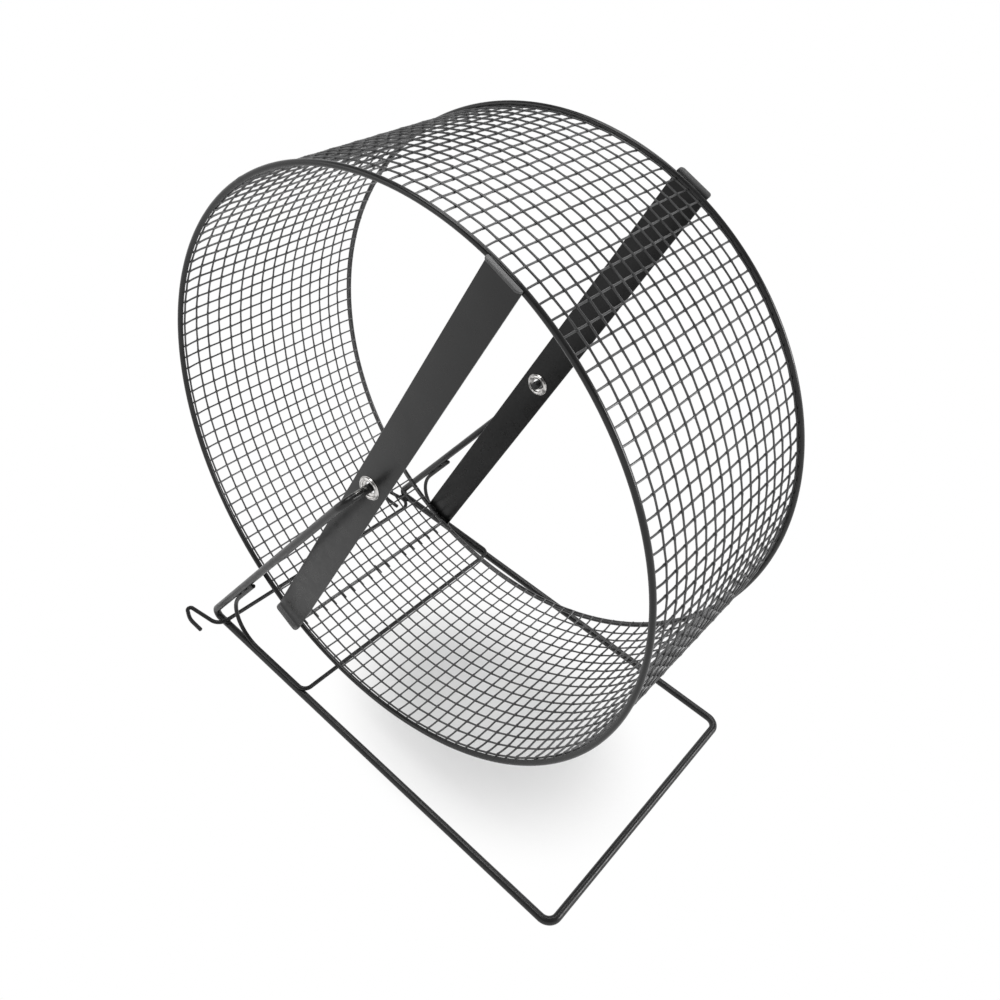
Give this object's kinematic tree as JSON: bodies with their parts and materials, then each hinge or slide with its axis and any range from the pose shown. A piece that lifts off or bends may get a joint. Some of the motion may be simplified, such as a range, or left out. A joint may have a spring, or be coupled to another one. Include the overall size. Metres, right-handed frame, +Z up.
{
  "type": "hamster wheel",
  "caption": "Open wire running wheel for a small pet: a square-mesh drum with flat crossbars turning on the bent-in ends of a free-standing wire stand with two open hooks.",
  "frame": {"origin": "middle of the whole object's outline, on the surface it stands on", "axes": "+Z up, +Y along the axle from the side with the outer hook to the far side, +X along the ground rails away from the hooks"},
  "size_m": [0.256, 0.15, 0.264],
  "materials": {
    "stand_wire": "satin black coating on thick steel wire",
    "thin_wire": "satin black coating on thin steel wire",
    "rim_wire": "satin black coating on steel wire",
    "strip": "fine matt charcoal coating on steel strip",
    "nickel": "bright nickel plate on a rolled eyelet",
    "mesh_wire": "black coating on fine woven steel wire"
  },
  "bodies": {
    "stand": {"stand_frame": "stand_wire", "brace_wire": "thin_wire", "hook_wire": "thin_wire"},
    "wheel": {"front_rim": "rim_wire", "rear_rim": "rim_wire", "front_crossbar": "strip", "rear_crossbar": "strip", "front_eyelet": "nickel", "rear_eyelet": "nickel", "mesh_cross_wires": "mesh_wire", "mesh_seam": "mesh_wire", "mesh_hoop_01": "mesh_wire", "mesh_hoop_02": "mesh_wire", "mesh_hoop_03": "mesh_wire", "mesh_hoop_04": "mesh_wire", "mesh_hoop_05": "mesh_wire", "mesh_hoop_06": "mesh_wire", "mesh_hoop_07": "mesh_wire", "mesh_hoop_08": "mesh_wire", "mesh_hoop_09": "mesh_wire", "mesh_hoop_10": "mesh_wire", "mesh_hoop_11": "mesh_wire", "mesh_hoop_12": "mesh_wire", "mesh_hoop_13": "mesh_wire", "mesh_hoop_14": "mesh_wire", "mesh_hoop_15": "mesh_wire"}
  },
  "joints": [
    {"name": "wheel_spin", "type": "hinge", "parent": "stand", "child": "wheel", "pos_m": [-0.00297, 0.00635, 0.1389], "axis": [0, 1, 0], "continuous": true}
  ]
}
